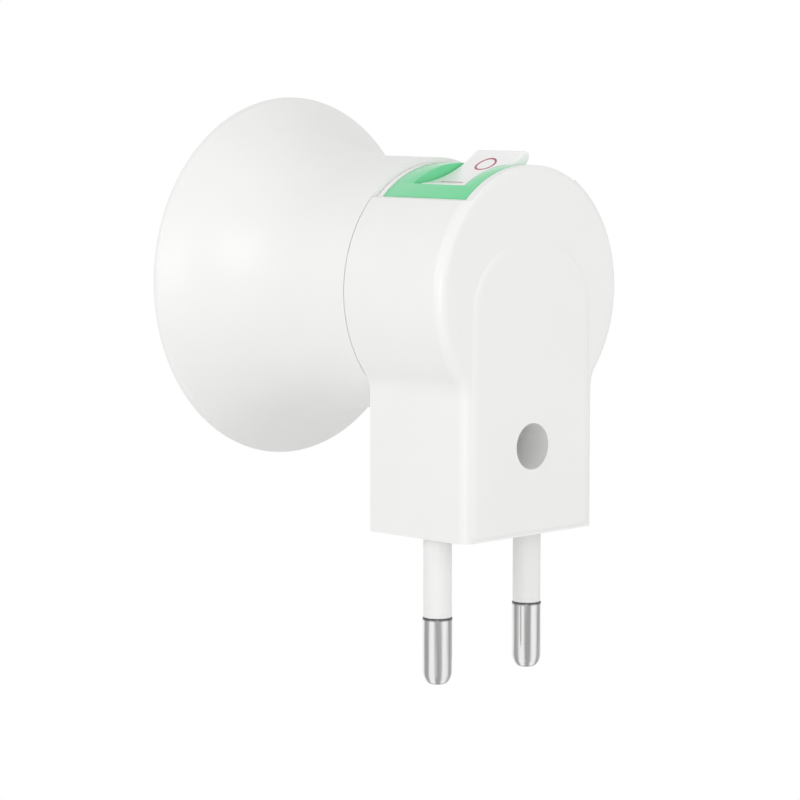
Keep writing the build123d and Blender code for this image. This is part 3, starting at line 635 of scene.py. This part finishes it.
nose_long, nose_turns = 1.85, [pi / 2 * (1 - i / 14) for i in range(15)]
nose = [(pin_tip + nose_long * (1 - sin(angle)), tip_flat_r + (pin_r - tip_flat_r) * cos(angle))
        for angle in nose_turns]
core = eased([(nose_start, pin_r, 0), (sleeve_foot, pin_r, 0.14), (sleeve_foot, core_r, 0),
              (core_top, core_r, 0.3), (core_top, 0, 0)])[1:]
for x, side_name in pin_sides:
    pin = turned("pin_plated_" + side_name, [(pin_tip, 0)] + nose + core, (x, 0, 0), (0, 0, 1), 96)
    finished(pin, nickel_plate("brass, nickel plated, " + side_name, x), "holder",
             "pin_" + side_name)

# Sleeves: white nylon moulded round the thin part of each pin, from inside the block down to
# the nose. They keep a finger off the live metal when the plug is half out.
sleeve_top, sleeve_r, sleeve_bore_r = 4, 1.9, 1.52
# Nylon is a softer white than ABS, nearly matt, with a grain of 0.3 mm
nylon = moulded_plastic("white nylon, moulded", "#F2F2F1", "#ECECEA", 0.42, 0.3, 0.006)
sleeve_outline = eased([(sleeve_foot, sleeve_bore_r, 0), (sleeve_foot, sleeve_r, 0.12),
                        (sleeve_top, sleeve_r, 0.1), (sleeve_top, sleeve_bore_r, 0)])
for x, side_name in pin_sides:
    sleeve = turned("sleeve_moulded_" + side_name, sleeve_outline, (x, 0, 0), (0, 0, 1), 96,
                    ring=True)
    finished(sleeve, nylon, "holder", "sleeve_" + side_name)

# Studio: a plain pale floor under the pins, white where the camera and the gloss see it, and
# three soft boxes round a white room
floor_half, floor_up = 3, -0.02


def seen_as_white(tree):
    """1 where a place is seen, directly, in gloss or through a clear piece, and 0 for the light
    that it gives."""
    path = add(tree, "ShaderNodeLightPath")
    direct = add(tree, "ShaderNodeMath", {"operation": "MAXIMUM"},
                 links={0: path.outputs["Is Camera Ray"], 1: path.outputs["Is Glossy Ray"]})
    seen = add(tree, "ShaderNodeMath", {"operation": "MAXIMUM"},
               links={0: direct.outputs[0], 1: path.outputs["Is Transmission Ray"]})
    return seen.outputs[0]


floor_mesh = bpy.data.meshes.new("sweep")
bm = bmesh.new()
bm.faces.new([bm.verts.new((x * floor_half, y * floor_half, floor_up))
              for x, y in ((-1, -1), (1, -1), (1, 1), (-1, 1))])
bm.to_mesh(floor_mesh)
bm.free()
sweep = bpy.data.objects.new("sweep", floor_mesh)
bpy.context.scene.collection.objects.link(sweep)
paper = bpy.data.materials.new("white studio paper")
paper.use_nodes = True
tree = paper.node_tree
matte = tree.nodes["Principled BSDF"]
matte.inputs["Base Color"].default_value = linear("#F4F4F4")
matte.inputs["Roughness"].default_value = 0.9
glow = add(tree, "ShaderNodeEmission", sockets={"Color": (1, 1, 1, 1), "Strength": 1.0})
blend = add(tree, "ShaderNodeMixShader",
            links={0: seen_as_white(tree), 1: matte.outputs[0], 2: glow.outputs[0]})
wire(tree, tree.nodes["Material Output"], {"Surface": blend.outputs[0]})
floor_mesh.materials.append(paper)

world = bpy.data.worlds.new("studio")
bpy.context.scene.world = world
world.use_nodes = True
tree = world.node_tree
room = tree.nodes["Background"]
room.inputs["Color"].default_value = (1, 1, 1, 1)
level = add(tree, "ShaderNodeMapRange", sockets={"To Min": 0.65, "To Max": 1.0},
            links={"Value": seen_as_white(tree)})
wire(tree, room, {"Strength": level.outputs["Result"]})


def soft_box(name, place, size, power):
    """A studio soft box: a white area lamp, in metres and watts, turned to the object."""
    lamp = bpy.data.lights.new(name, "AREA")
    lamp.size = size
    lamp.energy = power
    rig = bpy.data.objects.new(name, lamp)
    rig.location = place
    aim = Vector((0, -0.01, 0.03))
    rig.rotation_euler = (aim - rig.location).to_track_quat("-Z", "Y").to_euler()
    bpy.context.scene.collection.objects.link(rig)


soft_box("low soft box", (0.52, 0.50, 0.10), 0.22, 0.80)
soft_box("left soft box", (0.60, -0.15, 0.25), 0.35, 0.82)
soft_box("right soft box", (-0.05, 0.60, 0.25), 0.35, 0.64)

# Camera at the photograph's viewing angle: from behind and to the right, 5 degrees above, with
# the distance, lens and aim that bring the block, the pins and the bell to their places in it
view = bpy.data.cameras.new("camera")
view.sensor_fit = "HORIZONTAL"
view.sensor_width = 36.0
view.lens = 139.566
view.clip_start = 0.01
view.clip_end = 20.0
camera = bpy.data.objects.new("camera", view)
camera.location = (0.30116, 0.28398, 0.06237)
aim = Vector((0.003375, -0.01240, 0.01669))
camera.rotation_euler = (aim - camera.location).to_track_quat("-Z", "Y").to_euler()
bpy.context.scene.collection.objects.link(camera)
bpy.context.scene.camera = camera
bpy.context.scene.view_settings.view_transform = "Standard"
